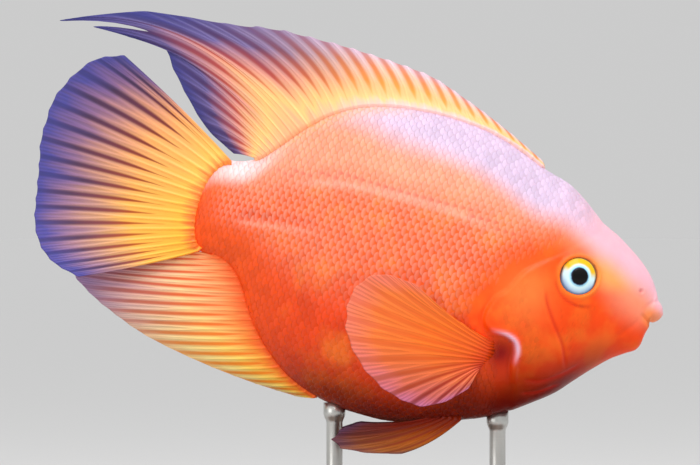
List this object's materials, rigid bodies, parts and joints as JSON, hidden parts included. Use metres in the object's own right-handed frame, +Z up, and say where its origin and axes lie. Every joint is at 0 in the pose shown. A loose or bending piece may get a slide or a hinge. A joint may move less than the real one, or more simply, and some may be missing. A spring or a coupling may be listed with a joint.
{
  "type": "blood parrot cichlid model",
  "caption": "Life-size still model of a blood parrot cichlid, nose down with fins spread, on a plain wooden display base with steel rods.",
  "frame": {"origin": "centre of the stand base's underside", "axes": "+Z up from the surface that the stand rests on; the fish's nose points towards +X and 15 degrees downwards; its right side faces -Y"},
  "size_m": [0.1948, 0.08, 0.1594],
  "materials": {
    "skin": "wet scaled skin, red-orange flank under a pale pink back",
    "fins": "thin rayed membrane, orange at the root and mauve at the margin",
    "eyes": "pale blue iris with a yellow crescent and a dark pupil under a clear cornea",
    "rods": "satin steel",
    "base": "oiled dark walnut with rounded edges"
  },
  "bodies": {
    "root": {"head": "skin", "lower_jaw": "skin", "gill_cover_right": "skin", "gill_cover_left": "skin", "trunk": "skin", "tail_stalk": "skin", "eye_right": "eyes", "eye_left": "eyes", "dorsal_fin": "fins", "dorsal_streamer": "fins", "tail_fin": "fins", "anal_fin": "fins", "pectoral_fin_right": "fins", "pectoral_fin_left": "fins", "pelvic_fin_right": "fins", "pelvic_fin_left": "fins", "stand_rod_front": "rods", "stand_rod_rear": "rods", "stand_base": "base"}
  },
  "joints": []
}
